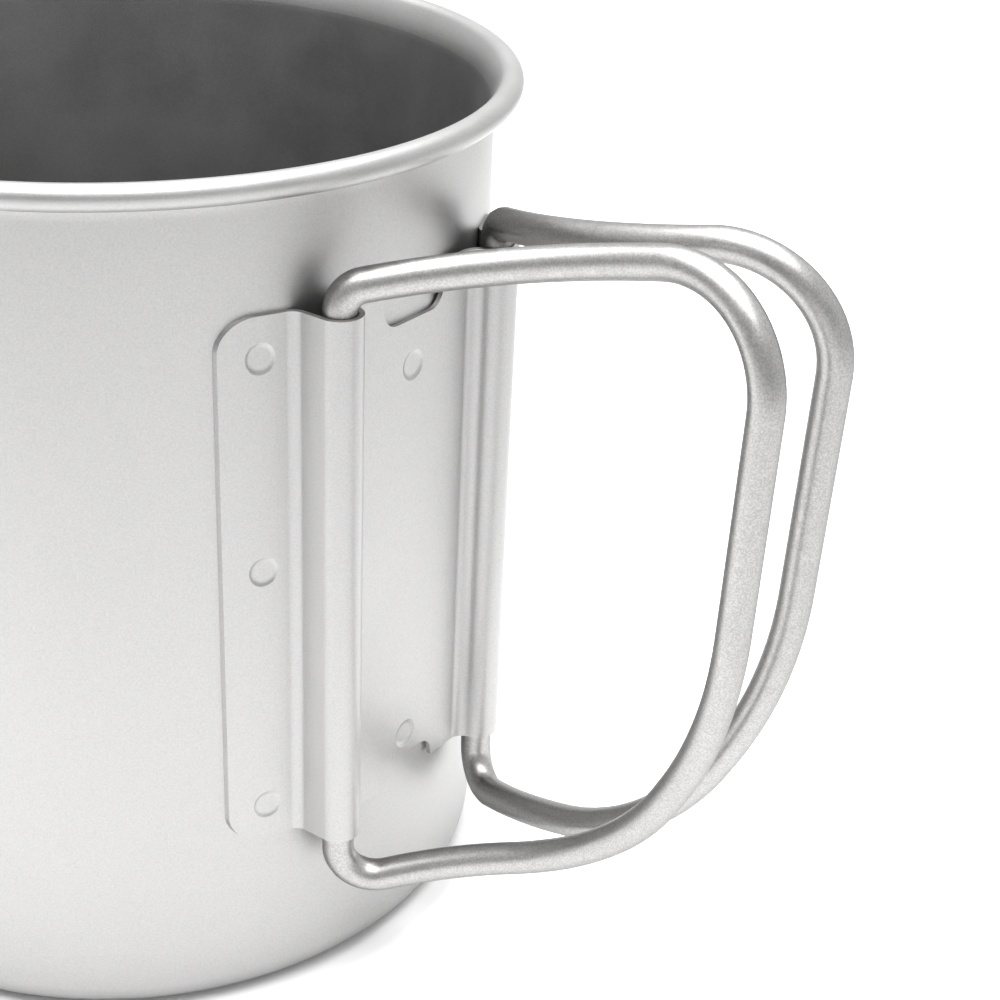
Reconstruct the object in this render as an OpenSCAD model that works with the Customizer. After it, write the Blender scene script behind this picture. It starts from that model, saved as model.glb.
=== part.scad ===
// Open camping pot of drawn titanium sheet with two folding wire handles.
//
// Frame: millimetres, +Z up, origin at the centre of the underside of the base.
// The handle bracket is centred on +X. Seen from outside, facing the bracket,
// the left handle is on the -Y side and the right handle on the +Y side.
// Each handle is one closed wire loop. Its straight side stands in a channel of
// the bracket and turns there, and the rest is bowed to lie along the wall when
// it is folded. The handles are drawn open, as the pot is held.

/* [Pot] */
// Outside diameter of the straight wall
pot_diameter = 95; // [80:1:130]
// Height from the table to the top of the rim
pot_height = 110; // [100:1:150]
// Thickness of the drawn sheet
wall = 0.5; // [0.3:0.05:0.8]
// Outside radius of the corner between the wall and the base
base_corner = 4; // [2:0.5:8]

/* [Rim] */
// Outside radius of the rolled bead
bead_radius = 1.5; // [1.2:0.1:2]
// Distance from the wall's inner face out to the middle of the bead
bead_reach = 2.5; // [2:0.1:3]
// Inside radius of the outward bend that leads into the bead
rim_bend = 8; // [6:0.5:12]
// Where the rolled edge ends, in degrees round the bead from the outermost point
curl_end = -120; // [-130:5:-100]

/* [Bracket] */
// Thickness of the stamped sheet
bracket_sheet = 0.6; // [0.4:0.1:1]
// Height of the bracket
bracket_height = 68.9; // [60:0.1:75]
// Height of its lower edge above the table
bracket_lift = 24.7; // [20:0.1:30]
// Distance between the two hinge axes
hinge_spacing = 28.9; // [26:0.1:34]
// Distance of a hinge axis in front of the web's face
hinge_stand_off = 1; // [0.8:0.1:1.5]
// Radius of the bend between the web and a channel
web_bend = 1.9; // [1.5:0.1:2.5]
// Radius of the bend between a channel and its flange
flange_bend = 1.5; // [1:0.1:2]
// Width of the whole bracket, measured straight across
bracket_width = 50.4; // [50:0.1:58]
// Radius of the flanges' corners
flange_corner = 4; // [2:0.5:6]

/* [Notches and welds] */
// Width of the notch in the web at either end
notch_width = 11; // [8:0.5:14]
// Depth of the notch in the upper edge
top_notch_depth = 5.4; // [3:0.1:8]
// Depth of the notch in the lower edge
bottom_notch_depth = 3; // [2:0.1:5]
// Radius of the notches' inner corners
notch_corner = 2.4; // [1:0.1:3]
// Diameter of a spot weld's dimple
weld_diameter = 3.9; // [2:0.1:4]
// Depth of a spot weld's dimple
weld_depth = 0.2; // [0.1:0.05:0.3]
// Distance of the flange welds from the middle of the bracket, straight across
weld_reach = 20.9; // [20.8:0.1:22]
// Heights of the welds in a flange, above the bracket's lower edge
flange_weld_heights = [4.8, 37.4, 63.9]; // [3:0.1:72]
// Heights of the welds in the web, above the bracket's lower edge
web_weld_heights = [6.2, 57.7]; // [5:0.1:68]

/* [Handles] */
// Diameter of the wire
wire_diameter = 4; // [3:0.1:4.5]
// Radial clearance between the wire and its channel
hinge_clearance = 0.1; // [0.05:0.05:0.3]
// Reach of the loop, measured along its bow from the hinge axis
loop_reach = 50.5; // [40:0.5:56]
// Height of the loop's upper outer corner above the bracket's upper edge
loop_rise = 14.2; // [4:0.2:14.2]
// Height of the loop's upper inner corner above the bracket's upper edge
shoulder_rise = 2.7; // [2.6:0.1:6]
// Depth of the loop's lower inner corner below the bracket's lower edge
heel_drop = 8.8; // [6:0.1:12]
// How far the left handle's tip leans towards the middle from straight out, in degrees
left_lean = 11.4; // [-90:0.1:12]
// How far the right handle's tip leans towards the middle from straight out, in degrees
right_lean = 6.4; // [-90:0.1:12]

/* [Hidden] */
$fn = 64;
// Sides of the pot's own rounds, and how far a cutting shape stands past what it cuts.
pot_sides = 128;
cut_margin = 1;
// Largest angle between two points of an arc in an outline, and in the flanges' long arcs.
arc_step = 7.5;
flange_step = 2;

pot_radius = pot_diameter / 2;
inner_radius = pot_radius - wall;
wire_radius = wire_diameter / 2;

// Rim: the wall bends outward in one curve and runs on into the bead.
bead_centre = [inner_radius + bead_reach, pot_height - bead_radius];
rim_turn = acos((rim_bend - bead_reach) / (rim_bend - bead_radius));
rim_centre = [inner_radius + rim_bend, bead_centre[1] - (rim_bend - bead_radius) * sin(rim_turn)];

// Bracket: the web is flat and touches the wall along its middle line.
web_front = pot_radius + bracket_sheet;
channel_inside = wire_radius + hinge_clearance;
channel_outside = channel_inside + bracket_sheet;
hinge_x = web_front + hinge_stand_off;
hinge_y = hinge_spacing / 2;
hinge_radius = norm([hinge_x, hinge_y]);
hinge_azimuth = atan2(hinge_y, hinge_x);
bend_y = hinge_y + channel_outside + flange_bend;
bend_x = sqrt(pow(web_front + flange_bend, 2) - bend_y * bend_y);
flange_start = atan2(bend_y, bend_x);
flange_end = asin(bracket_width / 2 / pot_radius);
bracket_top = bracket_lift + bracket_height;
weld_azimuth = asin(weld_reach / web_front);
// The bracket is drawn this much into the wall, then cut back to the wall's own round face.
seat_depth = 0.3;
web_seat = 0.02;
through = 10;

// Handle: the wire's bends, from the top of the pin round the grip to its bottom.
pin_end_margin = 1.2;
pin_top = bracket_top - pin_end_margin;
pin_bottom = bracket_lift + pin_end_margin;
shoulder_bend = 3.2;
tip_bend = 12;
grip_bend = 55;
toe_bend = 36;
heel_bend = 4.5;
// The grip is widest at its top and draws in towards the toe.
grip_share = 0.42;
grip_setback = 2;
toe_setback = 15;
toe_rise = 3.6;
// Corners of the loop unrolled flat, each as [reach, height, bend radius].
loop_corners = [
    [0, bracket_top + shoulder_rise, shoulder_bend],
    [loop_reach, bracket_top + loop_rise, tip_bend],
    [loop_reach - grip_setback, bracket_lift + grip_share * bracket_height, grip_bend],
    [loop_reach - toe_setback, bracket_lift + toe_rise, toe_bend],
    [0, bracket_lift - heel_drop, heel_bend],
];
// The bowed wire runs this far into both ends of the pin.
pin_overlap = 1;
loop_ends = [[0, pin_top - pin_overlap], [0, pin_bottom + pin_overlap]];
// Turn from lying along the wall to a loop whose hinge and tip point straight out.
straight_out = hinge_azimuth + 90 + loop_reach / hinge_radius * 90 / PI;
// The loop's flat sides lie just inside the round pin that they run into.
facet_ease = 0.99;
wire_sides = 14;
ring_spacing = 3.2;
straight_spacing = 5.12;
bend_step = 18;

// Points along an arc about `centre`, both ends included.
function arc(centre, radius, from, to, step = arc_step) =
    let (steps = ceil(abs(to - from) / step))
    [for (i = [0:steps]) let (a = from + (to - from) * i / steps)
        centre + radius * [cos(a), sin(a)]];

// Half of the pot's section, to the right of its axis, as one closed outline.
module pot_section() {
    corner = [pot_radius - base_corner, base_corner];
    polygon(concat(
        [[0, 0]],
        arc(corner, base_corner, 270, 360),
        arc(rim_centre, rim_bend - wall, 180, 180 - rim_turn),
        // The rolled edge: out along the sheet's hidden side, then back over its open side.
        arc(bead_centre, bead_radius - wall, 180 - rim_turn, curl_end),
        arc(bead_centre, bead_radius, curl_end, 180 - rim_turn),
        arc(rim_centre, rim_bend, 180 - rim_turn, 180),
        arc(corner, base_corner - wall, 360, 270),
        [[0, wall]]
    ));
}

module pot_body() {
    color("silver") rotate_extrude($fn = pot_sides) pot_section();
}

// The bend between the web and a channel touches both, so it meets the nose at a slant.
web_slant = asin((web_bend - hinge_stand_off) / (channel_outside + web_bend));
web_centre = [web_front + web_bend, hinge_y - (channel_outside + web_bend) * cos(web_slant)];

// The bracket's front face in section, from its middle line to its edge on the +Y side.
bracket_front = concat(
    arc(web_centre, web_bend, 180, 90 + web_slant),
    arc([hinge_x, hinge_y], channel_outside, web_slant - 90, 90),
    arc([bend_x, bend_y], flange_bend, 270, 180 + flange_start),
    arc([0, 0], web_front, flange_start, flange_end, flange_step)
);
// Its back face, from the same edge to the middle line, straight across the channel.
bracket_back = concat(
    arc([0, 0], pot_radius - seat_depth, flange_end, flange_start, flange_step),
    arc([bend_x, bend_y], flange_bend + bracket_sheet + seat_depth, 180 + flange_start, 270),
    arc(web_centre, web_bend + bracket_sheet, 90 + web_slant, 180),
    [[pot_radius - web_seat, 0]]
);

// Section of the bracket, with its channels still filled in.
module bracket_section() {
    half = concat(bracket_front, bracket_back);
    polygon(concat(half, [for (i = [len(half) - 1:-1:0]) [half[i][0], -half[i][1]]]));
}

// The round-nosed space that a handle's pin turns in, open towards the pot.
module channel_space(side) {
    length = bracket_height + 2 * cut_margin;
    translate([hinge_x, side * hinge_y, bracket_lift - cut_margin]) {
        cylinder(r = channel_inside, h = length);
        translate([-through, -channel_inside, 0]) cube([through, 2 * channel_inside, length]);
    }
}

// Rectangle of the bracket seen square on, with its four corners rounded.
module bracket_outline() {
    inset = bracket_width / 2 - flange_corner;
    translate([-inset, 0]) square([2 * inset, bracket_height]);
    translate([-bracket_width / 2, flange_corner])
        square([bracket_width, bracket_height - 2 * flange_corner]);
    for (side = [-1, 1], level = [flange_corner, bracket_height - flange_corner])
        translate([side * inset, level]) circle(flange_corner);
}

// A notch that opens towards -Y in the drawing, with rounded inner corners.
module notch(depth) {
    inset = notch_width / 2 - notch_corner;
    translate([-notch_width / 2, -cut_margin])
        square([notch_width, cut_margin + depth - notch_corner]);
    translate([-inset, 0]) square([2 * inset, depth]);
    for (side = [-1, 1]) translate([side * inset, depth - notch_corner]) circle(notch_corner);
}

// Extrudes a drawing of the bracket's front through the sheet, along +X.
module through_sheet() {
    translate([pot_radius / 2, 0, bracket_lift]) rotate([90, 0, 90])
        linear_extrude(pot_radius) children();
}

// The ball that presses one spot weld's dimple, at a height above the lower edge.
module weld_ball(azimuth, height) {
    ball = (pow(weld_diameter / 2, 2) + pow(weld_depth, 2)) / (2 * weld_depth);
    rotate([0, 0, azimuth]) translate([web_front - weld_depth + ball, 0, bracket_lift + height])
        sphere(ball);
}

module handle_bracket() {
    color("lightgray") difference() {
        intersection() {
            translate([0, 0, bracket_lift]) linear_extrude(bracket_height) bracket_section();
            through_sheet() bracket_outline();
        }
        translate([0, 0, bracket_lift - cut_margin])
            cylinder(r = pot_radius, h = bracket_height + 2 * cut_margin, $fn = pot_sides);
        for (side = [-1, 1]) channel_space(side);
        through_sheet() notch(bottom_notch_depth);
        through_sheet() translate([0, bracket_height]) mirror([0, 1]) notch(top_notch_depth);
        for (side = [-1, 1], height = flange_weld_heights) weld_ball(side * weld_azimuth, height);
        for (height = web_weld_heights) weld_ball(0, height);
    }
}

// Half the angle between the two sides that meet at a corner of the loop.
function half_angle(before, corner, after) =
    let (u = (before - corner) / norm(before - corner), w = (after - corner) / norm(after - corner))
    acos(u * w) / 2;

// Centre of the bend of a given radius at a corner of the loop.
function bend_centre(before, corner, after, radius) =
    let (u = (before - corner) / norm(before - corner),
        w = (after - corner) / norm(after - corner),
        half = half_angle(before, corner, after))
    corner + (u + w) / norm(u + w) * radius / sin(half);

// Points along the bend at a corner of the loop, spaced about `ring_spacing` apart.
function bend_points(before, corner, after, radius) =
    let (centre = bend_centre(before, corner, after, radius),
        turn = 180 - 2 * half_angle(before, corner, after),
        tangent = radius * tan(turn / 2),
        start = corner + (before - corner) / norm(before - corner) * tangent - centre,
        length = turn / 180 * PI * radius,
        steps = max(3, ceil(turn / bend_step), ceil(length / ring_spacing)))
    [for (i = [0:steps]) let (a = -turn * i / steps)
        centre + [start[0] * cos(a) - start[1] * sin(a), start[0] * sin(a) + start[1] * cos(a)]];

// Adds points along each straight stretch, so that it can follow the bow.
function subdivide(points) = [
    for (i = [0:len(points) - 1])
        let (next = points[min(i + 1, len(points) - 1)],
            steps = max(1, ceil(norm(next - points[i]) / straight_spacing)))
        for (k = [0:(i == len(points) - 1 ? 0 : steps - 1)])
            points[i] + (next - points[i]) * k / steps
];

corner_points = [for (corner = loop_corners) [corner[0], corner[1]]];
outline_points = concat([loop_ends[0]], corner_points, [loop_ends[1]]);
flat_route = subdivide(concat(
    [loop_ends[0]],
    [for (i = [0:len(loop_corners) - 1])
        each bend_points(outline_points[i], outline_points[i + 1], outline_points[i + 2],
            loop_corners[i][2])],
    [loop_ends[1]]
));

// Direction of the flat route at a point.
function route_direction(i) =
    let (step = flat_route[min(i + 1, len(flat_route) - 1)] - flat_route[max(i - 1, 0)])
    step / norm(step);

// One ring of the wire, wrapped on the cylinder that the folded handle lies along.
function wire_ring(i, side) =
    let (point = flat_route[i],
        along = route_direction(i),
        azimuth = side * (hinge_azimuth + point[0] / hinge_radius * 180 / PI),
        outward = [cos(azimuth), sin(azimuth), 0],
        around = side * [-sin(azimuth), cos(azimuth), 0],
        across = -along[1] * around + along[0] * [0, 0, 1],
        centre = hinge_radius * outward + [0, 0, point[1]])
    [for (k = [0:wire_sides - 1]) let (a = 360 * k / wire_sides)
        centre + facet_ease * wire_radius * (cos(a) * outward + side * sin(a) * across)];

// The bowed part of a loop as one swept tube.
module loop_tube(side) {
    last = len(flat_route) - 1;
    points = [for (i = [0:last]) each wire_ring(i, side)];
    sides = [for (i = [0:last - 1], k = [0:wire_sides - 1])
        let (a = i * wire_sides + k, b = i * wire_sides + (k + 1) % wire_sides)
        [a, b, b + wire_sides, a + wire_sides]];
    first_cap = [for (k = [0:wire_sides - 1]) wire_sides - 1 - k];
    last_cap = [for (k = [0:wire_sides - 1]) last * wire_sides + k];
    polyhedron(points, concat([first_cap], sides, [last_cap]), convexity = 6);
}

// A handle on one side, turned open about its hinge axis.
module handle(side, open) {
    hinge = [hinge_x, side * hinge_y, 0];
    translate(hinge) rotate([0, 0, -side * open]) translate(-hinge) {
        translate([hinge_x, side * hinge_y, pin_bottom])
            cylinder(r = wire_radius, h = pin_top - pin_bottom);
        loop_tube(side);
    }
}

module left_handle() {
    color("gainsboro") handle(-1, straight_out + left_lean);
}

module right_handle() {
    color("gainsboro") handle(1, straight_out + right_lean);
}

pot_body();
handle_bracket();
left_handle();
right_handle();
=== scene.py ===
"""Visual model of an open camping pot in blasted titanium with two folding wire handles.

Every length is in metres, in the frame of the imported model: +Z up, the origin at the
centre of the underside of the base, and the handle bracket centred on +X.
"""

import logging
import math
from dataclasses import dataclass, field
from enum import Enum

import bpy
from mathutils import Matrix, Vector


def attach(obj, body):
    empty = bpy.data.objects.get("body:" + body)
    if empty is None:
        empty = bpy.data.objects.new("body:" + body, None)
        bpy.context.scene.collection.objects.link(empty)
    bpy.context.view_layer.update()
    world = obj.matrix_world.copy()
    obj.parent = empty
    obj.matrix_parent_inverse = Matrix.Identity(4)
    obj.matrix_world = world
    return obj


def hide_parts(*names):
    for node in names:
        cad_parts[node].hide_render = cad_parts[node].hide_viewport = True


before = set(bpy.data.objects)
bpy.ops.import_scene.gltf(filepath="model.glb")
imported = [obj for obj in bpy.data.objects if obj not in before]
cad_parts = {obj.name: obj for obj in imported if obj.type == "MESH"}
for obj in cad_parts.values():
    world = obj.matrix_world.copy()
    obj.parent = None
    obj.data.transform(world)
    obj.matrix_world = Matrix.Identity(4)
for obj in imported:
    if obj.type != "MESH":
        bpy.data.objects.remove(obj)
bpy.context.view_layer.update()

log = logging.getLogger("camping_pot")

MM = 0.001
MERGE_DISTANCE = 0.002 * MM
# A weld punch's profile: shares of its radius and of its depth. It starts lifted clear.
PUNCH_PROFILE = [(1.0, 0.0), (0.95, 0.12), (0.88, 0.42), (0.80, 0.75), (0.71, 0.95), (0.6, 1.0)]
PUNCH_LIFT = 2.0
# Numbers of parts in the round stretches of a profile.
FINE_STEPS = 12
BEND_STEPS = 10
# The noise patterns vary mostly within these limits.
CLOUD_LOW, CLOUD_HIGH = 0.3, 0.7
GRAIN_LOW, GRAIN_HIGH = 0.22, 0.78

WHITE = (1, 1, 1, 1)

Colour = tuple[float, float, float]
Place = tuple[float, float, float]
Socket = bpy.types.NodeSocket


class Side(Enum):
    """The side of the bracket that a handle hangs on."""

    LEFT = -1
    RIGHT = 1


# ---------------------------------------------------------------- modelling by hand


def deselect_all() -> None:
    """Leaves nothing selected, so that an operator touches the new piece alone."""
    for item in bpy.context.selected_objects:
        item.select_set(False)


def pick(piece: bpy.types.Object) -> None:
    """Makes one object the only selected and the active one.

    Args:
        piece: The object to pick.
    """
    deselect_all()
    piece.select_set(True)
    bpy.context.view_layer.objects.active = piece


def start_at(point: Vector) -> bpy.types.Object:
    """Starts a piece from a primitive that is merged down to one vertex.

    Args:
        point: Place of the vertex.

    Returns:
        The new object, in edit mode, with the vertex selected.
    """
    deselect_all()
    bpy.ops.mesh.primitive_plane_add(size=MM, enter_editmode=True, location=(0, 0, 0))
    bpy.ops.mesh.select_mode(type="VERT")
    bpy.ops.mesh.select_all(action="SELECT")
    bpy.ops.mesh.merge(type="CENTER")
    bpy.ops.transform.translate(value=point)
    return bpy.context.active_object


def draw_line(points: list[Vector]) -> bpy.types.Object:
    """Draws a chain of edges by extruding a vertex from point to point.

    Args:
        points: The chain's points, in order.

    Returns:
        The new object, in edit mode.
    """
    piece = start_at(points[0])
    for here, there in zip(points, points[1:]):
        bpy.ops.mesh.extrude_vertices_move(TRANSFORM_OT_translate={"value": there - here})
    return piece


def apply_modifiers(piece: bpy.types.Object) -> None:
    """Applies every modifier of a piece, from the top of its stack down.

    Args:
        piece: The object whose modifiers are applied.
    """
    pick(piece)
    for modifier in list(piece.modifiers):
        bpy.ops.object.modifier_apply(modifier=modifier.name)


def cut_with(piece: bpy.types.Object, tool: bpy.types.Object, operation: str) -> None:
    """Cuts a piece with a tool by a boolean, and throws the tool away.

    Args:
        piece: The object that is cut.
        tool: The object that cuts it.
        operation: DIFFERENCE or INTERSECT.
    """
    modifier = piece.modifiers.new("cut", "BOOLEAN")
    modifier.operation = operation
    modifier.solver = "EXACT"
    modifier.object = tool
    apply_modifiers(piece)
    bpy.data.objects.remove(tool)


def settle(piece: bpy.types.Object, name: str) -> None:
    """Names a piece and puts its place into its mesh, with its object at the origin.

    Args:
        piece: The object to settle.
        name: Its name, which its mesh gets too.
    """
    pick(piece)
    bpy.ops.object.transform_apply(location=True, rotation=True, scale=True)
    piece.name = name
    piece.data.name = name


def smooth(piece: bpy.types.Object, angle: float) -> None:
    """Shades a piece smooth up to an angle between faces.

    Args:
        piece: The object to shade.
        angle: Largest smooth angle, in degrees.
    """
    pick(piece)
    bpy.ops.object.shade_smooth_by_angle(angle=math.radians(angle))


def merged(points: list[Vector]) -> list[Vector]:
    """Drops each point that stands where the next one does.

    Args:
        points: Points of an outline, in order.

    Returns:
        The points without doubles.
    """
    return [p for p, q in zip(points, points[1:]) if (p - q).length > MERGE_DISTANCE] + points[-1:]


def arc(
    centre: tuple[float, float], radius: float, start: float, end: float, steps: int
) -> list[Vector]:
    """Lists points along an arc in a plane.

    Args:
        centre: The arc's centre.
        radius: Its radius.
        start: Angle of its first point, in degrees.
        end: Angle of its last point, in degrees.
        steps: Number of equal parts.

    Returns:
        The points, both ends included.
    """
    points = []
    for i in range(steps + 1):
        angle = math.radians(start + (end - start) * i / steps)
        across, along = radius * math.cos(angle), radius * math.sin(angle)
        points.append(Vector((centre[0] + across, centre[1] + along)))
    return points


# ---------------------------------------------------------------- finishes


class NodeSheet:
    """A material's node tree with short ways to add and join nodes."""

    def __init__(self, name: str) -> None:
        """Makes an empty material with a Principled shader.

        Args:
            name: The material's name.
        """
        self.material = bpy.data.materials.new(name)
        self.material.use_nodes = True
        self.tree = self.material.node_tree
        self.shader = self.tree.nodes["Principled BSDF"]
        self.place = self.tree.nodes.new("ShaderNodeTexCoord").outputs["Object"]

    def add(self, kind: str, **values: object) -> bpy.types.Node:
        """Adds a node and sets its inputs by name.

        Args:
            kind: The node's type, without its usual prefix.
            values: Input values, or output sockets to join, with _ for a space.

        Returns:
            The new node.
        """
        node = self.tree.nodes.new("ShaderNode" + kind)
        for key, value in values.items():
            self.put(node, key.replace("_", " "), value)
        return node

    def put(self, node: bpy.types.Node, socket: str, value: object) -> None:
        """Sets one input of a node, or joins an output to it.

        Args:
            node: The node.
            socket: Name of its input.
            value: A number, a colour or an output socket.
        """
        if isinstance(value, bpy.types.NodeSocket):
            self.tree.links.new(value, node.inputs[socket])
        else:
            node.inputs[socket].default_value = value

    def noise(self, size: float, detail: float) -> Socket:
        """Adds a noise pattern in object coordinates.

        Args:
            size: Typical size of a spot.
            detail: Octaves of finer pattern on it.

        Returns:
            The pattern's value socket, about 0 to 1.
        """
        node = self.add("TexNoise", Vector=self.place, Scale=1 / size, Detail=detail)
        return node.outputs["Fac"]

    def along(self, direction: Place) -> Socket:
        """Measures how far a point lies along a direction from the origin.

        Args:
            direction: The direction, as a vector of length 1.

        Returns:
            The distance's socket.
        """
        node = self.tree.nodes.new("ShaderNodeVectorMath")
        node.operation = "DOT_PRODUCT"
        node.inputs[1].default_value = direction
        self.tree.links.new(self.place, node.inputs[0])
        return node.outputs["Value"]

    def distance(self) -> Socket:
        """Measures how far a point lies from the origin.

        Returns:
            The distance's socket.
        """
        node = self.tree.nodes.new("ShaderNodeVectorMath")
        node.operation = "LENGTH"
        self.tree.links.new(self.place, node.inputs[0])
        return node.outputs["Value"]

    def math(self, operation: str, first: Socket, second: Socket) -> Socket:
        """Joins two values by one arithmetic operation.

        Args:
            operation: The operation, such as ADD or MULTIPLY.
            first: The first value's socket.
            second: The second value's socket.

        Returns:
            The result's socket.
        """
        node = self.tree.nodes.new("ShaderNodeMath")
        node.operation = operation
        self.tree.links.new(first, node.inputs[0])
        self.tree.links.new(second, node.inputs[1])
        return node.outputs["Value"]

    def spread(self, value: Socket, low: float, high: float, start: float, end: float) -> Socket:
        """Maps a value from one range to another, held at both ends.

        Args:
            value: The value's socket.
            low: Start of its range.
            high: End of its range.
            start: Result at the start.
            end: Result at the end.

        Returns:
            The result's socket.
        """
        source = {"Value": value, "From_Min": low, "From_Max": high}
        node = self.add("MapRange", **source, To_Min=start, To_Max=end)
        return node.outputs["Result"]

    def tint(self, factor: Socket, dark: Colour, light: Colour) -> Socket:
        """Mixes two colours by a factor.

        Args:
            factor: The factor's socket, from 0 to 1.
            dark: Colour at 0.
            light: Colour at 1.

        Returns:
            The colour's socket.
        """
        node = self.tree.nodes.new("ShaderNodeMix")
        node.data_type = "RGBA"
        self.tree.links.new(factor, node.inputs["Factor"])
        node.inputs[6].default_value = (*dark, 1)
        node.inputs[7].default_value = (*light, 1)
        return node.outputs[2]

    def bump(self, height: Socket, depth: float, strength: float) -> Socket:
        """Adds relief from a height pattern.

        Args:
            height: The pattern's socket.
            depth: Depth of the relief.
            strength: How much of it shows.

        Returns:
            The normal's socket.
        """
        return self.add("Bump", Height=height, Distance=depth, Strength=strength).outputs["Normal"]

    def wear(self, cloud: Socket, less: float, more: float) -> None:
        """Lets the roughness drift with a broad pattern.

        Args:
            cloud: The pattern's socket.
            less: Roughness where the pattern is low.
            more: Roughness where it is high.
        """
        self.put(self.shader, "Roughness", self.spread(cloud, CLOUD_LOW, CLOUD_HIGH, less, more))


@dataclass(frozen=True)
class BlastedTitanium:
    """Titanium sheet with the even, fine grain of glass bead blasting."""

    name: str
    dark: Colour
    light: Colour
    roughness: float
    drift: float = 0.03
    grain: float = 0.22 * MM
    grain_detail: float = 3.0
    grain_share: float = 0.75
    cloud: float = 9 * MM
    cloud_detail: float = 4.0
    relief: float = 0.02 * MM
    relief_strength: float = 0.5

    def build(self) -> bpy.types.Material:
        """Builds the material from its values.

        Returns:
            The material.
        """
        sheet = NodeSheet(self.name)
        grain = sheet.noise(self.grain, self.grain_detail)
        cloud = sheet.noise(self.cloud, self.cloud_detail)
        fine = sheet.spread(grain, GRAIN_LOW, GRAIN_HIGH, 0.0, self.grain_share)
        broad = sheet.spread(cloud, CLOUD_LOW, CLOUD_HIGH, 0.0, 1 - self.grain_share)
        mixed = sheet.math("ADD", fine, broad)
        sheet.put(sheet.shader, "Base Color", sheet.tint(mixed, self.dark, self.light))
        sheet.put(sheet.shader, "Metallic", 1.0)
        sheet.wear(cloud, self.roughness - self.drift, self.roughness + self.drift)
        sheet.put(sheet.shader, "Normal", sheet.bump(grain, self.relief, self.relief_strength))
        return sheet.material


@dataclass(frozen=True)
class WornWire:
    """Titanium wire, smoother than the sheet, with small marks from handling."""

    name: str
    dark: Colour
    light: Colour
    roughness: float
    polish: float = 0.04
    scuff: float = 0.05
    speck: float = 0.2 * MM
    speck_detail: float = 5.0
    speck_low: float = 0.42
    speck_high: float = 0.62
    cloud: float = 1.2 * MM
    cloud_detail: float = 3.0
    edge_tint: float = 0.5
    relief: float = 0.02 * MM
    relief_strength: float = 0.35

    def build(self) -> bpy.types.Material:
        """Builds the material from its values.

        Returns:
            The material.
        """
        sheet = NodeSheet(self.name)
        speck = sheet.noise(self.speck, self.speck_detail)
        cloud = sheet.noise(self.cloud, self.cloud_detail)
        worn = sheet.spread(speck, self.speck_low, self.speck_high, 0.0, 1.0)
        sheet.put(sheet.shader, "Base Color", sheet.tint(worn, self.dark, self.light))
        sheet.put(sheet.shader, "Metallic", 1.0)
        sheet.wear(cloud, self.roughness - self.polish, self.roughness + self.scuff)
        sheet.put(sheet.shader, "Specular Tint", (self.edge_tint, self.edge_tint, self.edge_tint, 1))
        sheet.put(sheet.shader, "Normal", sheet.bump(speck, self.relief, self.relief_strength))
        return sheet.material


# ---------------------------------------------------------------- the pot


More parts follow.
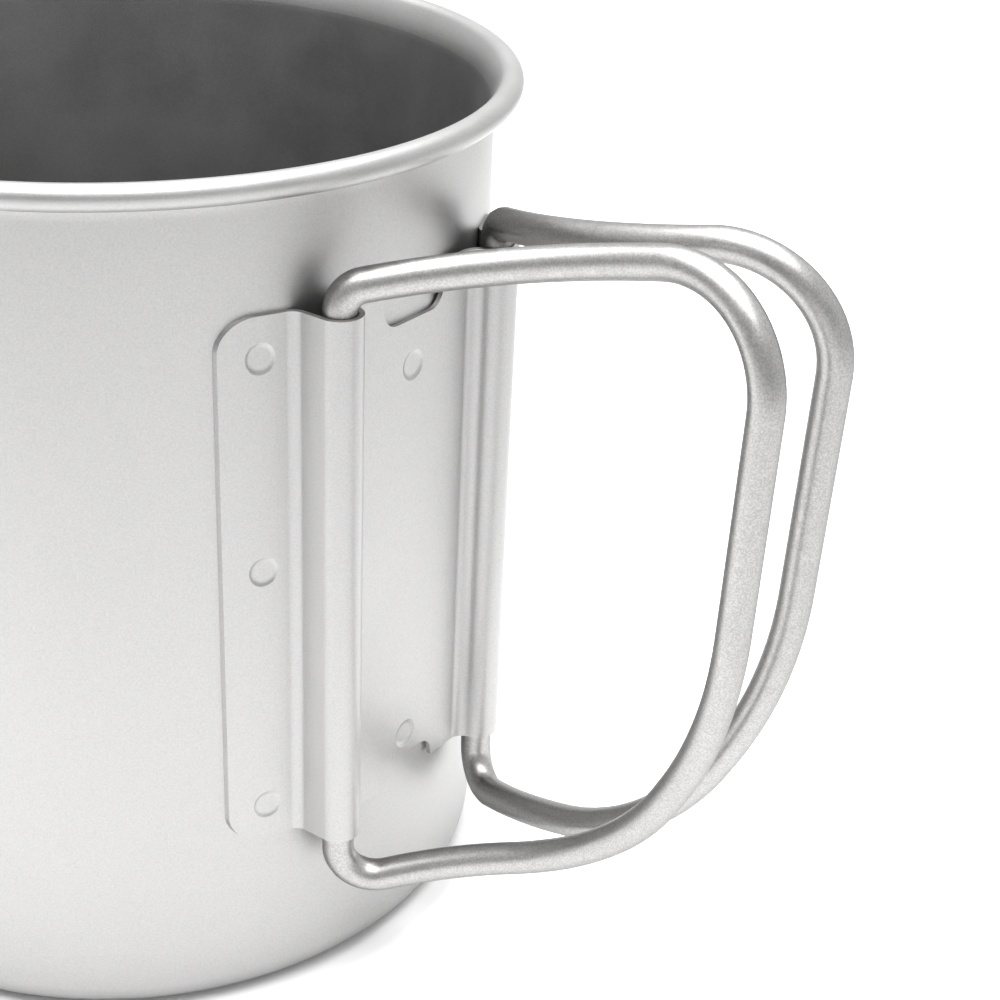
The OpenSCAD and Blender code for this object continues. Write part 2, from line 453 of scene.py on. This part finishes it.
@dataclass
class Vessel:
    """The drawn pot, whose neck bends outward into a rolled bead."""

    diameter: float = 95 * MM
    height: float = 110 * MM
    wall: float = 0.5 * MM
    base_corner: float = 4 * MM
    bead_radius: float = 1.5 * MM
    bead_reach: float = 2.5 * MM
    rim_bend: float = 8 * MM
    curl_end: float = -120
    sides: int = 192
    smooth_angle: float = 40
    level_face: float = 0.9
    finish: BlastedTitanium = field(
        default_factory=lambda: BlastedTitanium(
            "blasted_pot_sheet", (0.352, 0.349, 0.347), (0.452, 0.448, 0.446), 0.46
        )
    )
    # A darker copy of the outside finish, which paints the shade inside the pot.
    inside_painted_shade_finish: BlastedTitanium = field(
        default_factory=lambda: BlastedTitanium(
            "blasted_inside_painted_shade", (0.255, 0.251, 0.251), (0.352, 0.347, 0.347), 0.5
        )
    )

    def section(self) -> list[Vector]:
        """Lists the sheet's outline in section, from the axis under the base to the axis inside.

        Returns:
            Points as (radius, height).
        """
        outer = self.diameter / 2
        inner = outer - self.wall
        corner = (outer - self.base_corner, self.base_corner)
        bead = (inner + self.bead_reach, self.height - self.bead_radius)
        lever = self.rim_bend - self.bead_radius
        turn = math.degrees(math.acos((self.rim_bend - self.bead_reach) / lever))
        neck = (inner + self.rim_bend, bead[1] - lever * math.sin(math.radians(turn)))
        points = [Vector((0, 0))]
        points += arc(corner, self.base_corner, 270, 360, FINE_STEPS)
        points += arc(neck, self.rim_bend - self.wall, 180, 180 - turn, BEND_STEPS)
        points += arc(bead, self.bead_radius - self.wall, 180 - turn, self.curl_end, 2 * FINE_STEPS)
        points += arc(bead, self.bead_radius, self.curl_end, 180 - turn, 3 * FINE_STEPS)
        points += arc(neck, self.rim_bend, 180 - turn, 180, BEND_STEPS)
        points += arc(corner, self.base_corner - self.wall, 360, 270, FINE_STEPS)
        points.append(Vector((0, self.wall)))
        return merged(points)

    def dress(self, pot: bpy.types.Object) -> None:
        """Gives the pot its outside finish, and inside below the neck a darker copy of it that
        paints shade on the inside.

        Args:
            pot: The pot.
        """
        pot.data.materials.append(self.finish.build())
        pot.data.materials.append(self.inside_painted_shade_finish.build())
        # Painted shade: faces that look inward, or up from the inside base, below the neck take the
        # darker copy.
        for face in pot.data.polygons:
            inward = face.normal.x * face.center.x + face.normal.y * face.center.y < 0
            on_base = face.normal.z > self.level_face and face.center.z < self.base_corner
            below_neck = face.center.z < self.height - self.rim_bend / 2
            face.material_index = int((inward or on_base) and below_neck)

    def build(self) -> bpy.types.Object:
        """Spins the section round the axis and dresses the pot.

        Returns:
            The finished pot.
        """
        pot = draw_line([Vector((p[0], 0, p[1])) for p in self.section()])
        bpy.ops.mesh.select_all(action="SELECT")
        bpy.ops.mesh.spin(steps=self.sides, angle=2 * math.pi, center=(0, 0, 0), axis=(0, 0, 1))
        bpy.ops.mesh.select_all(action="SELECT")
        bpy.ops.mesh.remove_doubles(threshold=MERGE_DISTANCE)
        bpy.ops.mesh.normals_make_consistent(inside=False)
        bpy.ops.object.mode_set(mode="OBJECT")
        settle(pot, "vessel")
        smooth(pot, self.smooth_angle)
        self.dress(pot)
        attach(pot, "pot")
        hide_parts("pot_body")
        return pot


# ---------------------------------------------------------------- the bracket


@dataclass
class HandleBracket:
    """The stamped bracket whose two channels hold the handles' pins."""

    pot_radius: float = 47.5 * MM
    sheet: float = 0.6 * MM
    height: float = 68.9 * MM
    lift: float = 24.7 * MM
    hinge_spacing: float = 28.9 * MM
    hinge_stand_off: float = 1 * MM
    web_bend: float = 1.9 * MM
    flange_bend: float = 1.5 * MM
    width: float = 50.4 * MM
    flange_corner: float = 4 * MM
    channel_inside: float = 2.1 * MM
    notch_width: float = 11 * MM
    top_notch: float = 5.4 * MM
    bottom_notch: float = 3 * MM
    notch_corner: float = 2.4 * MM
    hinge_steps: int = 30
    corner_steps: int = 12
    block_near: float = 20 * MM
    block_far: float = 70 * MM
    overhang: float = 9 * MM
    edge_round: float = 0.27 * MM
    edge_steps: int = 4
    edge_angle: float = 60
    smooth_angle: float = 35
    weld_radius: float = 1.95 * MM
    weld_depth: float = 0.2 * MM
    weld_sides: int = 40
    weld_margin: float = 1.02
    weld_reach: float = 20.9 * MM
    flange_welds: tuple[float, ...] = (4.8 * MM, 37.4 * MM, 63.9 * MM)
    web_welds: tuple[float, ...] = (6.2 * MM, 57.7 * MM)
    finish: BlastedTitanium = field(
        default_factory=lambda: BlastedTitanium(
            "blasted_bracket_sheet", (0.352, 0.349, 0.347), (0.452, 0.448, 0.446), 0.44
        )
    )

    def half_path(self) -> list[Vector]:
        """Lists the middle of the sheet in plan, from the middle line to the +Y edge.

        Returns:
            Points as (x, y).
        """
        half = self.sheet / 2
        front = self.pot_radius + self.sheet
        hinge = Vector((front + self.hinge_stand_off, self.hinge_spacing / 2))
        outside = self.channel_inside + self.sheet
        slant = math.asin((self.web_bend - self.hinge_stand_off) / (outside + self.web_bend))
        web_centre = (front + self.web_bend, hinge.y - (outside + self.web_bend) * math.cos(slant))
        tilt = math.degrees(slant)
        bend_y = hinge.y + outside + self.flange_bend
        bend_x = math.sqrt((front + self.flange_bend) ** 2 - bend_y**2)
        start = math.degrees(math.atan2(bend_y, bend_x))
        end = math.degrees(math.asin(self.width / 2 / self.pot_radius))
        points = arc(web_centre, self.web_bend + half, 180, 90 + tilt, FINE_STEPS)
        points += arc((hinge.x, hinge.y), outside - half, tilt - 90, 90, self.hinge_steps)
        points += arc((bend_x, bend_y), self.flange_bend + half, 270, 180 + start, FINE_STEPS)
        points += arc((0, 0), self.pot_radius + half, start, end, FINE_STEPS)
        return merged(points)

    def bent_sheet(self) -> bpy.types.Object:
        """Extrudes an upright edge along the plan and gives the strip its thickness.

        Returns:
            The bent sheet, in object mode, with square ends.
        """
        half = self.half_path()
        plan = [Vector((p.x, -p.y, self.lift)) for p in reversed(half)]
        plan += [Vector((p.x, p.y, self.lift)) for p in half]
        bracket = draw_line([plan[0], plan[0] + Vector((0, 0, self.height))])
        bpy.ops.mesh.select_all(action="SELECT")
        for here, there in zip(plan, plan[1:]):
            bpy.ops.mesh.extrude_edges_move(TRANSFORM_OT_translate={"value": there - here})
        bpy.ops.mesh.select_all(action="SELECT")
        bpy.ops.mesh.normals_make_consistent(inside=False)
        bpy.ops.object.mode_set(mode="OBJECT")
        thick = bracket.modifiers.new("thickness", "SOLIDIFY")
        thick.thickness = self.sheet
        thick.offset = 0
        thick.use_even_offset = True
        apply_modifiers(bracket)
        return bracket

    def rounded_block(
        self, low: Vector, high: Vector, radius: float, upper: bool, lower: bool
    ) -> bpy.types.Object:
        """Makes a block along X with its chosen long edges rounded.

        Args:
            low: Its lowest corner.
            high: Its highest corner.
            radius: Radius of the rounded edges.
            upper: Whether its upper edges are rounded.
            lower: Whether its lower edges are rounded.

        Returns:
            The block, in object mode.
        """
        deselect_all()
        bpy.ops.mesh.primitive_cube_add(size=1, location=(low + high) / 2, scale=high - low)
        block = bpy.context.active_object
        bpy.ops.object.transform_apply(location=True, rotation=True, scale=True)
        middle = (low.z + high.z) / 2
        for edge in block.data.edges:
            a, b = (block.data.vertices[i].co for i in edge.vertices)
            along = abs(a.x - b.x) > MM
            edge.select = along and (upper if a.z > middle else lower)
        bpy.ops.object.mode_set(mode="EDIT")
        bpy.ops.mesh.select_mode(type="EDGE")
        bpy.ops.mesh.bevel(offset=radius, segments=self.corner_steps, profile=0.5, affect="EDGES")
        bpy.ops.mesh.select_mode(type="VERT")
        bpy.ops.object.mode_set(mode="OBJECT")
        return block

    def weld_punch(self, azimuth: float, height: float) -> bpy.types.Object:
        """Makes the punch that presses one spot weld's dimple.

        Args:
            azimuth: Angle of the weld round the pot, in radians.
            height: Height of the weld above the bracket's lower edge.

        Returns:
            The punch, in object mode.
        """
        front = self.pot_radius + self.sheet
        start = self.weld_radius * self.weld_margin
        deselect_all()
        bpy.ops.mesh.primitive_circle_add(vertices=self.weld_sides, radius=start, fill_type="NGON")
        punch = bpy.context.active_object
        bpy.ops.object.mode_set(mode="EDIT")
        bpy.ops.transform.translate(value=(0, 0, PUNCH_LIFT * self.weld_depth))
        reach, depth = self.weld_margin, -PUNCH_LIFT
        for share, sunk in PUNCH_PROFILE:
            drop = Vector((0, 0, (depth - sunk) * self.weld_depth))
            bpy.ops.mesh.extrude_region_move(TRANSFORM_OT_translate={"value": drop})
            bpy.ops.transform.resize(value=(share / reach, share / reach, 1))
            reach, depth = share, sunk
        bpy.ops.mesh.select_all(action="SELECT")
        bpy.ops.mesh.normals_make_consistent(inside=False)
        bpy.ops.object.mode_set(mode="OBJECT")
        punch.matrix_world = (
            Matrix.Rotation(azimuth, 4, "Z")
            @ Matrix.Translation((front, 0, self.lift + height))
            @ Matrix.Rotation(math.pi / 2, 4, "Y")
        )
        bpy.ops.object.transform_apply(location=True, rotation=True, scale=True)
        return punch

    def trim(self, bracket: bpy.types.Object) -> None:
        """Rounds the bracket's corners and cuts the notches in its upper and lower edges.

        Args:
            bracket: The bent sheet.
        """
        near, far = self.block_near, self.block_far
        bottom, top = self.lift, self.lift + self.height
        half, notch = self.width / 2, self.notch_width / 2
        low, high = Vector((near, -half, bottom)), Vector((far, half, top))
        outline = self.rounded_block(low, high, self.flange_corner, upper=True, lower=True)
        cut_with(bracket, outline, "INTERSECT")
        low = Vector((near, -notch, top - self.top_notch))
        high = Vector((far, notch, top + self.overhang))
        above = self.rounded_block(low, high, self.notch_corner, upper=False, lower=True)
        cut_with(bracket, above, "DIFFERENCE")
        low = Vector((near, -notch, bottom - self.overhang))
        high = Vector((far, notch, bottom + self.bottom_notch))
        below = self.rounded_block(low, high, self.notch_corner, upper=True, lower=False)
        cut_with(bracket, below, "DIFFERENCE")

    def press_welds(self, bracket: bpy.types.Object) -> None:
        """Presses the spot welds' dimples into the flanges and the web.

        Args:
            bracket: The trimmed bracket.
        """
        reach = math.asin(self.weld_reach / (self.pot_radius + self.sheet))
        spots = [(side.value * reach, height) for side in Side for height in self.flange_welds]
        spots += [(0.0, height) for height in self.web_welds]
        for azimuth, height in spots:
            cut_with(bracket, self.weld_punch(azimuth, height), "DIFFERENCE")

    def round_edges(self, bracket: bpy.types.Object) -> None:
        """Rounds the sheet's sharp edges and shades it smooth.

        Args:
            bracket: The trimmed bracket with its welds.
        """
        rounding = bracket.modifiers.new("edge_round", "BEVEL")
        rounding.width = self.edge_round
        rounding.segments = self.edge_steps
        rounding.limit_method = "ANGLE"
        rounding.angle_limit = math.radians(self.edge_angle)
        apply_modifiers(bracket)
        smooth(bracket, self.smooth_angle)
        weight = bracket.modifiers.new("weight", "WEIGHTED_NORMAL")
        weight.keep_sharp = True
        apply_modifiers(bracket)

    def build(self) -> bpy.types.Object:
        """Bends, trims, notches, welds and dresses the bracket.

        Returns:
            The finished bracket.
        """
        bracket = self.bent_sheet()
        self.trim(bracket)
        self.press_welds(bracket)
        self.round_edges(bracket)
        settle(bracket, "handle_bracket_sheet")
        bracket.data.materials.clear()
        bracket.data.materials.append(self.finish.build())
        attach(bracket, "pot")
        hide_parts("handle_bracket")
        return bracket


# ---------------------------------------------------------------- the handles


@dataclass
class WireHandle:
    """One closed loop of wire, bowed to lie along the wall and turned open about its pin."""

    side: Side
    lean: float
    wire: float = 4 * MM
    facet_ease: float = 0.99
    hinge_x: float = 49.1 * MM
    hinge_y: float = 14.45 * MM
    bracket_lift: float = 24.7 * MM
    bracket_height: float = 68.9 * MM
    reach: float = 50.5 * MM
    rise: float = 14.2 * MM
    shoulder_rise: float = 2.7 * MM
    shoulder_bend: float = 3.2 * MM
    tip_bend: float = 12 * MM
    grip_share: float = 0.42
    grip_setback: float = 2 * MM
    grip_bend: float = 55 * MM
    toe_setback: float = 15 * MM
    toe_rise: float = 3.6 * MM
    toe_bend: float = 36 * MM
    heel_drop: float = 8.8 * MM
    heel_bend: float = 4.5 * MM
    spacing: float = 1 * MM
    bend_steps: int = 6
    bend_angle: float = 6
    round_steps: int = 6
    smooth_angle: float = 40
    finish: WornWire = field(
        default_factory=lambda: WornWire(
            "worn_handle_wire", (0.33, 0.326, 0.322), (0.43, 0.426, 0.42), 0.38
        )
    )

    def corners(self) -> list[tuple[Vector, float]]:
        """Lists the corners of the loop unrolled flat.

        Returns:
            Each corner as (reach, height) and the radius of its bend.
        """
        top = self.bracket_lift + self.bracket_height
        grip = self.bracket_lift + self.grip_share * self.bracket_height
        toe = self.bracket_lift + self.toe_rise
        return [
            (Vector((0, top + self.shoulder_rise)), self.shoulder_bend),
            (Vector((self.reach, top + self.rise)), self.tip_bend),
            (Vector((self.reach - self.grip_setback, grip)), self.grip_bend),
            (Vector((self.reach - self.toe_setback, toe)), self.toe_bend),
            (Vector((0, self.bracket_lift - self.heel_drop)), self.heel_bend),
        ]

    def flat_route(self) -> list[Vector]:
        """Lists the middle of the wire unrolled flat, once round the loop.

        Returns:
            Points as (reach, height), with the last one a step short of the first.
        """
        corners = self.corners()
        route: list[Vector] = []
        for i, (corner, radius) in enumerate(corners):
            before = corners[i - 1][0] - corner
            after = corners[(i + 1) % len(corners)][0] - corner
            u, w = before.normalized(), after.normalized()
            half = math.acos(max(-1.0, min(1.0, u.dot(w)))) / 2
            centre = corner + (u + w).normalized() * radius / math.sin(half)
            first = corner + u * radius / math.tan(half) - centre
            turn = math.pi - 2 * half
            by_angle = math.ceil(math.degrees(turn) / self.bend_angle)
            steps = max(self.bend_steps, by_angle, math.ceil(turn * radius / self.spacing))
            for k in range(steps + 1):
                route.append(centre + Matrix.Rotation(-turn * k / steps, 2) @ first)
        dense: list[Vector] = []
        for i, here in enumerate(route):
            there = route[(i + 1) % len(route)]
            parts = max(1, math.ceil((there - here).length / (2 * self.spacing)))
            dense += [here.lerp(there, k / parts) for k in range(parts)]
        return dense

    def route(self) -> list[Vector]:
        """Wraps the flat loop on the bow's cylinder and turns it open about its pin.

        Returns:
            Points of the middle of the wire.
        """
        side = self.side.value
        bow = math.hypot(self.hinge_x, self.hinge_y)
        start = math.atan2(self.hinge_y, self.hinge_x)
        straight_out = start + math.pi / 2 + self.reach / bow / 2
        hinge = Vector((self.hinge_x, side * self.hinge_y, 0))
        turn = Matrix.Rotation(-side * (straight_out + math.radians(self.lean)), 3, "Z")
        points = []
        for flat in self.flat_route():
            azimuth = side * (start + flat.x / bow)
            folded = Vector((bow * math.cos(azimuth), bow * math.sin(azimuth), flat.y))
            points.append(hinge + turn @ (folded - hinge))
        return points

    def build(self) -> bpy.types.Object:
        """Draws the loop, gives it the wire's thickness and dresses it.

        Returns:
            The finished handle.
        """
        handle = draw_line(self.route())
        bpy.ops.mesh.select_all(action="SELECT")
        bpy.ops.object.mode_set(mode="OBJECT")
        pick(handle)
        bpy.ops.object.convert(target="CURVE")
        handle = bpy.context.active_object
        handle.data.splines[0].use_cyclic_u = True
        handle.data.twist_mode = "MINIMUM"
        handle.data.bevel_depth = self.wire / 2 * self.facet_ease
        handle.data.bevel_resolution = self.round_steps
        bpy.ops.object.convert(target="MESH")
        handle = bpy.context.active_object
        label = self.side.name.lower()
        settle(handle, f"{label}_handle_wire")
        smooth(handle, self.smooth_angle)
        handle.data.materials.clear()
        handle.data.materials.append(self.finish.build())
        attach(handle, f"{label}_handle")
        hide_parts(f"{label}_handle")
        return handle


# ---------------------------------------------------------------- the studio


@dataclass
class Studio:
    """Pale floor with painted light, a glow faded to painted shade round the pot, a softbox
    overhead, a pale room and the camera.
    """

    floor_size: float = 6.0
    floor_drop: float = 0.05 * MM
    floor_dark: Colour = (0.80, 0.80, 0.80)
    floor_light: Colour = (0.82, 0.82, 0.82)
    floor_cloud: float = 60 * MM
    floor_detail: float = 2.0
    floor_roughness: float = 0.7
    # Strength of the floor's painted glow: the floor glows though it is no lamp.
    painted_glow: float = 0.55
    # Painted contact shadow round the base: no glow at the first distance, full glow at the second.
    painted_shadow_start: float = 49 * MM
    painted_shadow_end: float = 56 * MM
    # Painted shade beside the pot and in front of it, where the floor's glow fades out.
    painted_side_shade_azimuth: float = 20.0
    painted_side_shade_start: float = 112 * MM
    painted_side_shade_end: float = 150 * MM
    painted_front_shade_start: float = 70 * MM
    painted_front_shade_end: float = 160 * MM
    back_light: float = 1.3
    front_light: float = 0.42
    bright_azimuth: float = 105.0
    bright_rise: float = 0.5
    softbox_place: Place = (0.02, -0.04, 0.6)
    softbox_aim: Place = (0, 0, 0.05)
    softbox_size: float = 0.6
    softbox_power: float = 8.0
    camera_reach: float = 242.1 * MM
    camera_height: float = 175.04 * MM
    camera_azimuth: float = -43.46
    camera_pitch: float = 27.66
    camera_yaw: float = 12.02
    camera_roll: float = 2.68
    lens: float = 70.94
    sensor: float = 36
    clip_start: float = 0.01

    def paint_floor_shade(
        self, sheet: NodeSheet, painted_glow: Socket, azimuth: float, start: float, end: float
    ) -> Socket:
        """Paints shade on the floor: fades its painted glow out on one side of the pot, outside the
        picture, so the pot reflects that side darker.

        Args:
            sheet: The floor's material.
            painted_glow: The painted glow so far.
            azimuth: Direction in which it fades, in degrees.
            start: Distance from the pot's axis where it starts to fade.
            end: Distance where it is gone.

        Returns:
            The glow with the painted shade in it.
        """
        toward = math.radians(azimuth)
        beside = sheet.along((math.cos(toward), math.sin(toward), 0))
        return sheet.math("MULTIPLY", painted_glow, sheet.spread(beside, start, end, 1.0, 0.0))

    def floor_material(self) -> bpy.types.Material:
        """Builds the floor's pale material, with a painted glow that gives way to a painted contact
        shadow under the pot and to painted shade beside it.

        Returns:
            The material.
        """
        sheet = NodeSheet("pale_floor_painted_light")
        tone = sheet.noise(self.floor_cloud, self.floor_detail)
        sheet.put(sheet.shader, "Base Color", sheet.tint(tone, self.floor_dark, self.floor_light))
        sheet.put(sheet.shader, "Roughness", self.floor_roughness)
        reach = sheet.distance()
        # Painted contact shadow: no glow under the base, rising to full glow a few millimetres out
        # from its edge.
        painted_glow = sheet.spread(reach, self.painted_shadow_start, self.painted_shadow_end, 0.0, self.painted_glow)
        # Painted shade: the glow fades out beside the pot and toward the camera.
        painted_glow = self.paint_floor_shade(sheet, painted_glow, self.painted_side_shade_azimuth, self.painted_side_shade_start, self.painted_side_shade_end)
        painted_glow = self.paint_floor_shade(sheet, painted_glow, self.camera_azimuth, self.painted_front_shade_start, self.painted_front_shade_end)
        # Painted light: the floor glows though it is no lamp.
        sheet.put(sheet.shader, "Emission Color", WHITE)
        sheet.put(sheet.shader, "Emission Strength", painted_glow)
        return sheet.material

    def floor(self) -> bpy.types.Object:
        """Lays the floor under the pot.

        Returns:
            The floor.
        """
        deselect_all()
        under = (0, 0, -self.floor_drop)
        bpy.ops.mesh.primitive_plane_add(size=self.floor_size, location=under)
        floor = bpy.context.active_object
        settle(floor, "studio_floor")
        floor.data.materials.append(self.floor_material())
        return floor

    def area(self, name: str, at: Vector, aim: Vector, size: float, power: float) -> None:
        """Hangs one soft square light.

        Args:
            name: The light's name.
            at: Its place.
            aim: The point that it faces.
            size: Length of its sides.
            power: Its power in watts.
        """
        light = bpy.data.lights.new(name, "AREA")
        light.size = size
        light.energy = power
        lamp = bpy.data.objects.new(name, light)
        turn = (aim - at).to_track_quat("-Z", "Y").to_matrix().to_4x4()
        lamp.matrix_world = Matrix.Translation(at) @ turn
        bpy.context.scene.collection.objects.link(lamp)

    def bright_side(self) -> Vector:
        """Gives the direction in which the room is brightest, on one side and above the pot.

        Returns:
            The direction, as a vector of length 1.
        """
        away = math.radians(self.bright_azimuth)
        return Vector((math.cos(away), math.sin(away), self.bright_rise)).normalized()

    def room(self) -> None:
        """Fills the room with pale light that is stronger toward its bright side."""
        world = bpy.data.worlds.new("pale_room")
        world.use_nodes = True
        tree = world.node_tree
        background = tree.nodes["Background"]
        background.inputs["Color"].default_value = WHITE
        place = tree.nodes.new("ShaderNodeTexCoord")
        facing = tree.nodes.new("ShaderNodeVectorMath")
        facing.operation = "DOT_PRODUCT"
        facing.inputs[1].default_value = self.bright_side()
        ramp = tree.nodes.new("ShaderNodeMapRange")
        ramp.inputs["From Min"].default_value = -1.0
        ramp.inputs["From Max"].default_value = 1.0
        ramp.inputs["To Min"].default_value = self.front_light
        ramp.inputs["To Max"].default_value = self.back_light
        tree.links.new(place.outputs["Generated"], facing.inputs[0])
        tree.links.new(facing.outputs["Value"], ramp.inputs["Value"])
        tree.links.new(ramp.outputs["Result"], background.inputs["Strength"])
        bpy.context.scene.world = world

    def camera_axes(self) -> tuple[Vector, Vector, Vector]:
        """Works out the camera's axes for a camera that stands on -Y.

        Returns:
            The directions to its right, above it and behind it.
        """
        pitch, yaw = math.radians(self.camera_pitch), math.radians(self.camera_yaw)
        roll = math.radians(self.camera_roll)
        level = Vector((math.cos(yaw), -math.sin(yaw), 0))
        ahead = math.cos(pitch)
        forward = Vector((math.sin(yaw) * ahead, math.cos(yaw) * ahead, -math.sin(pitch)))
        upward = level.cross(forward)
        right = math.cos(roll) * level + math.sin(roll) * upward
        above = math.cos(roll) * upward - math.sin(roll) * level
        return right, above, -forward

    def camera(self) -> None:
        """Sets up the camera and the plain view of its colours."""
        scene = bpy.context.scene
        turn = Matrix.Rotation(math.radians(self.camera_azimuth) + math.pi / 2, 3, "Z")
        axes = Matrix([turn @ axis for axis in self.camera_axes()]).transposed()
        at = turn @ Vector((0, -self.camera_reach, self.camera_height))
        data = bpy.data.cameras.new("camera")
        data.lens = self.lens
        data.sensor_width = self.sensor
        data.clip_start = self.clip_start
        camera = bpy.data.objects.new("camera", data)
        camera.matrix_world = Matrix.Translation(at) @ axes.to_4x4()
        scene.collection.objects.link(camera)
        scene.camera = camera
        scene.view_settings.view_transform = "Standard"

    def build(self) -> None:
        """Builds the whole studio."""
        self.floor()
        self.room()
        place, aim = Vector(self.softbox_place), Vector(self.softbox_aim)
        self.area("top_softbox", place, aim, self.softbox_size, self.softbox_power)
        self.camera()


def main() -> None:
    """Builds every piece in order and reports each one."""
    logging.basicConfig(level=logging.INFO, format="%(name)s: %(message)s")
    pieces = [
        Vessel().build(),
        HandleBracket().build(),
        WireHandle(Side.LEFT, lean=11.4).build(),
        WireHandle(Side.RIGHT, lean=6.4).build(),
    ]
    for piece in pieces:
        log.info("%s: %d faces", piece.name, len(piece.data.polygons))
    Studio().build()
    log.info("studio built")


if __name__ == "__main__":
    main()
